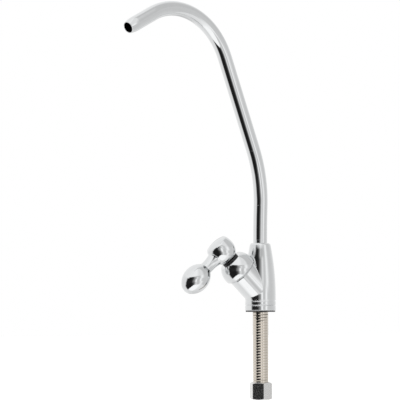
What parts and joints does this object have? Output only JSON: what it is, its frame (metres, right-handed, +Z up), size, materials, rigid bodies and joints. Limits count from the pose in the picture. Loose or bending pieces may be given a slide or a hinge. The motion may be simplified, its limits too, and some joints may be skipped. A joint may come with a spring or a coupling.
{
  "type": "drinking water filter tap",
  "caption": "Chromed worktop tap for filtered drinking water: bent swivel spout, leaning quarter-turn lever valve, threaded shank and compression nut.",
  "frame": {"origin": "centre of the base seal's underside, where the tap stands on the worktop", "axes": "+Z up along the shank and the tower, -Y to the front, the way the valve leans; the spout is swung 20.5 degrees from -Y towards +X"},
  "size_m": [0.0591, 0.1282, 0.2738],
  "materials": {
    "chrome": "polished chrome plate",
    "nickel": "nickel-plated thread",
    "nut_plate": "bright nickel plate",
    "brass": "turned",
    "steel": "plain",
    "ceramic": "lapped",
    "rubber": "matt",
    "black_plastic": "matt",
    "white_plastic": "matt"
  },
  "bodies": {
    "tap_body": {"body_casting": "chrome", "base_ring": "chrome", "base_seal": "rubber", "shank": "nickel", "shank_seal": "rubber", "bonnet": "chrome", "cartridge_body": "brass", "cartridge_o_ring": "rubber", "seat_seal": "rubber", "fixed_disc": "ceramic", "slip_washer": "black_plastic"},
    "handle": {"handle_lever": "chrome", "handle_screw": "steel", "valve_stem": "brass", "stem_o_ring_lower": "rubber", "stem_o_ring_upper": "rubber", "stem_clip": "steel", "moving_disc": "ceramic"},
    "spout": {"spout_tube": "chrome", "spout_plug": "brass", "spout_o_ring_lower": "rubber", "spout_o_ring_upper": "rubber", "spout_split_ring": "white_plastic"},
    "nut": {"compression_nut": "nut_plate", "ferrule": "brass"}
  },
  "joints": [
    {"name": "handle_turn", "type": "hinge", "parent": "tap_body", "child": "handle", "pos_m": [0, -0.02963, 0.04283], "axis": [0, -0.7071, 0.7071], "range_deg": [0, 90]},
    {"name": "spout_swivel", "type": "hinge", "parent": "tap_body", "child": "spout", "pos_m": [0, 0, 0.042], "axis": [0, 0, 1], "continuous": true},
    {"name": "nut_unscrew", "type": "slide", "parent": "tap_body", "child": "nut", "axis": [0, 0, -1], "range_m": [0, 0.04]}
  ]
}
